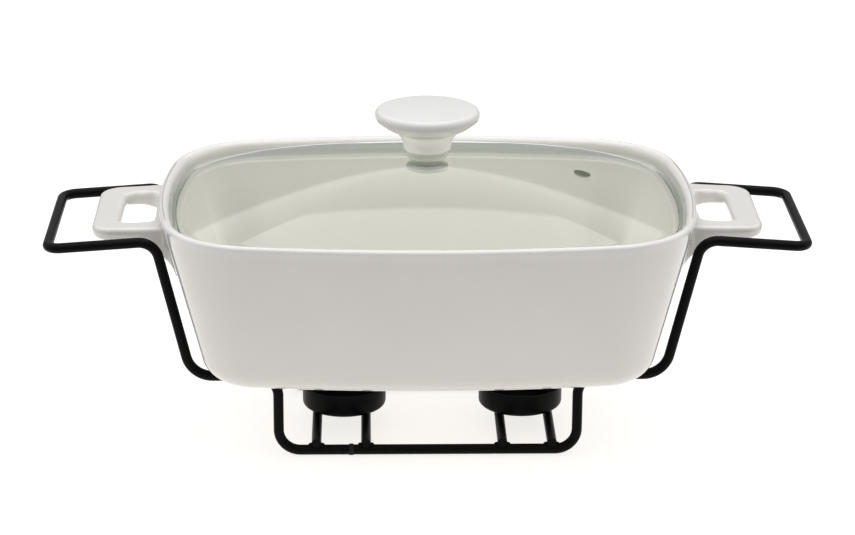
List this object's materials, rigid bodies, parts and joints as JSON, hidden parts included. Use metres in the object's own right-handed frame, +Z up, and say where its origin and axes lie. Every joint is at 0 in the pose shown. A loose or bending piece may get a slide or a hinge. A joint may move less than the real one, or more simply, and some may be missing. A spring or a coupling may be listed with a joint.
{
  "type": "tealight food warmer with covered dish",
  "caption": "Oblong glazed dish with open handles and a domed glass lid, carried on a bent wire stand with cups for tealights.",
  "frame": {"origin": "on the table under the middle of the stand, halfway between its two bottom bars", "axes": "+X along the dish to the grip at the viewer's right, +Y to the rear, +Z up"},
  "size_m": [0.3844, 0.192, 0.1711],
  "materials": {
    "black_coat": "satin",
    "cup_coat": "satin",
    "dish_glaze": "gloss",
    "knob_glaze": "gloss",
    "lid_glass": "clear",
    "seal_rubber": "matte",
    "fixing_steel": "satin",
    "insert_brass": "satin"
  },
  "bodies": {
    "stand": {"wire_right": "black_coat", "wire_left": "black_coat", "butt_weld_front": "black_coat", "butt_weld_rear": "black_coat", "cross_wire_1": "black_coat", "cross_wire_2": "black_coat", "cross_wire_3": "black_coat", "cross_wire_4": "black_coat", "cross_wire_welds": "black_coat", "cup_left": "cup_coat", "cup_right": "cup_coat", "cup_welds": "black_coat"},
    "dish": {"dish": "dish_glaze"},
    "lid": {"lid_glass": "lid_glass", "lid_knob": "knob_glaze", "knob_insert": "insert_brass", "knob_gasket": "seal_rubber", "glass_bush": "seal_rubber", "lid_washer": "fixing_steel", "lid_screw": "fixing_steel"}
  },
  "joints": [
    {"name": "dish_lift", "type": "slide", "parent": "stand", "child": "dish", "axis": [0, 0, 1], "range_m": [0, 0.12]},
    {"name": "lid_lift", "type": "slide", "parent": "dish", "child": "lid", "axis": [0, 0, 1], "range_m": [0, 0.08]}
  ]
}
